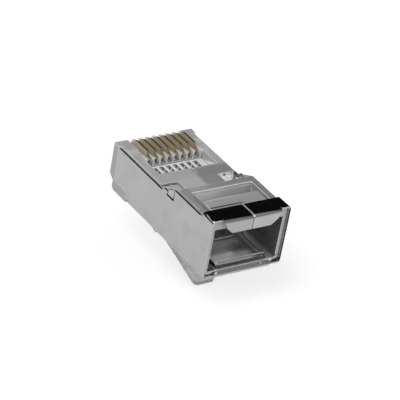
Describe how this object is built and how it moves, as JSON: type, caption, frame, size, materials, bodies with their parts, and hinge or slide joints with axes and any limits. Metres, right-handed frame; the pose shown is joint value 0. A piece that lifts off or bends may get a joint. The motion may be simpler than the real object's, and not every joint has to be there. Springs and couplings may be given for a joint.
{
  "type": "shielded ethernet plug",
  "caption": "Modular cable plug with a clear moulded body, folded metal shield, gold contact blades and a sprung latch lever.",
  "frame": {"origin": "middle of the cable entry, on the plug's rear face", "axes": "+Y from the cable entry to the nose, +X across the plug, +Z towards the contact side, latch below"},
  "size_m": [0.0116, 0.0232, 0.0146],
  "materials": {
    "clear_plastic": "clear polycarbonate, gloss",
    "nickel_sheet": "nickel-plated sheet, satin outside",
    "gold_contact": "gold plate, semi-gloss"
  },
  "bodies": {
    "plug": {"housing": "clear_plastic", "shield": "nickel_sheet", "contact_1": "gold_contact", "contact_2": "gold_contact", "contact_3": "gold_contact", "contact_4": "gold_contact", "contact_5": "gold_contact", "contact_6": "gold_contact", "contact_7": "gold_contact", "contact_8": "gold_contact"},
    "latch": {"latch_lever": "clear_plastic"}
  },
  "joints": [
    {"name": "latch_press", "type": "hinge", "parent": "plug", "child": "latch", "pos_m": [0, 0.0209, -0.00494], "axis": [-1, 0, 0], "range_deg": [0, 19], "stiffness_Nm_per_rad": 0.2}
  ]
}
